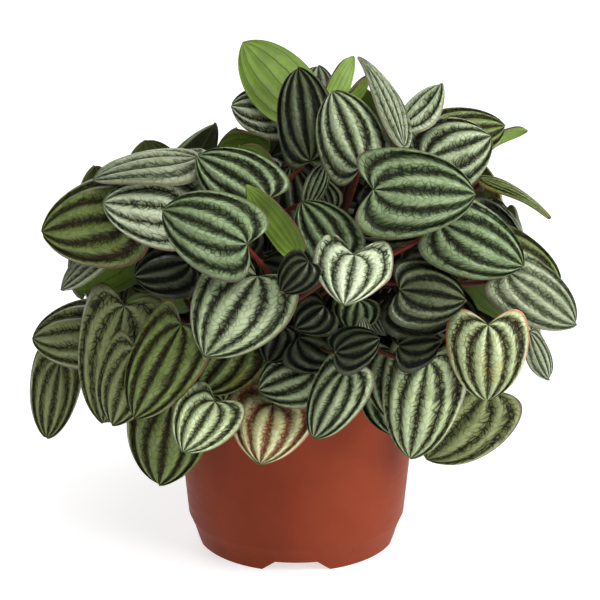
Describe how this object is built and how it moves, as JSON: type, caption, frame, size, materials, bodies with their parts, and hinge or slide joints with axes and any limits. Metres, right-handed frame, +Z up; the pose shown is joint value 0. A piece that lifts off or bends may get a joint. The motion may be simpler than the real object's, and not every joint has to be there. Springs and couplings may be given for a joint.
{
  "type": "potted houseplant",
  "caption": "Houseplant in a round tapered nursery pot with a notched foot, filled with soil, carrying a dome of ribbed, heart-shaped leaves on thin stalks.",
  "frame": {"origin": "centre of the whole plant at the height of the surface that the pot's foot ring stands on, which is also on the pot's axis", "axes": "+Z up along the pot's axis, -Y towards the side that the picture shows, +X to that side's right"},
  "size_m": [0.2664, 0.2626, 0.2634],
  "materials": {
    "terracotta_plastic": "satin terracotta-coloured plastic",
    "soil": "loose dark potting soil",
    "foliage": "satin silver-green blades with dark sunken veins, on red stalks"
  },
  "bodies": {
    "root": {"pot": "terracotta_plastic", "soil": "soil", "leafy_stem_1": "foliage", "leafy_stem_2": "foliage", "leafy_stem_3": "foliage", "leafy_stem_4": "foliage", "leafy_stem_5": "foliage", "leafy_stem_6": "foliage", "leafy_stem_7": "foliage", "leafy_stem_8": "foliage", "leafy_stem_9": "foliage", "leafy_stem_10": "foliage"}
  },
  "joints": []
}
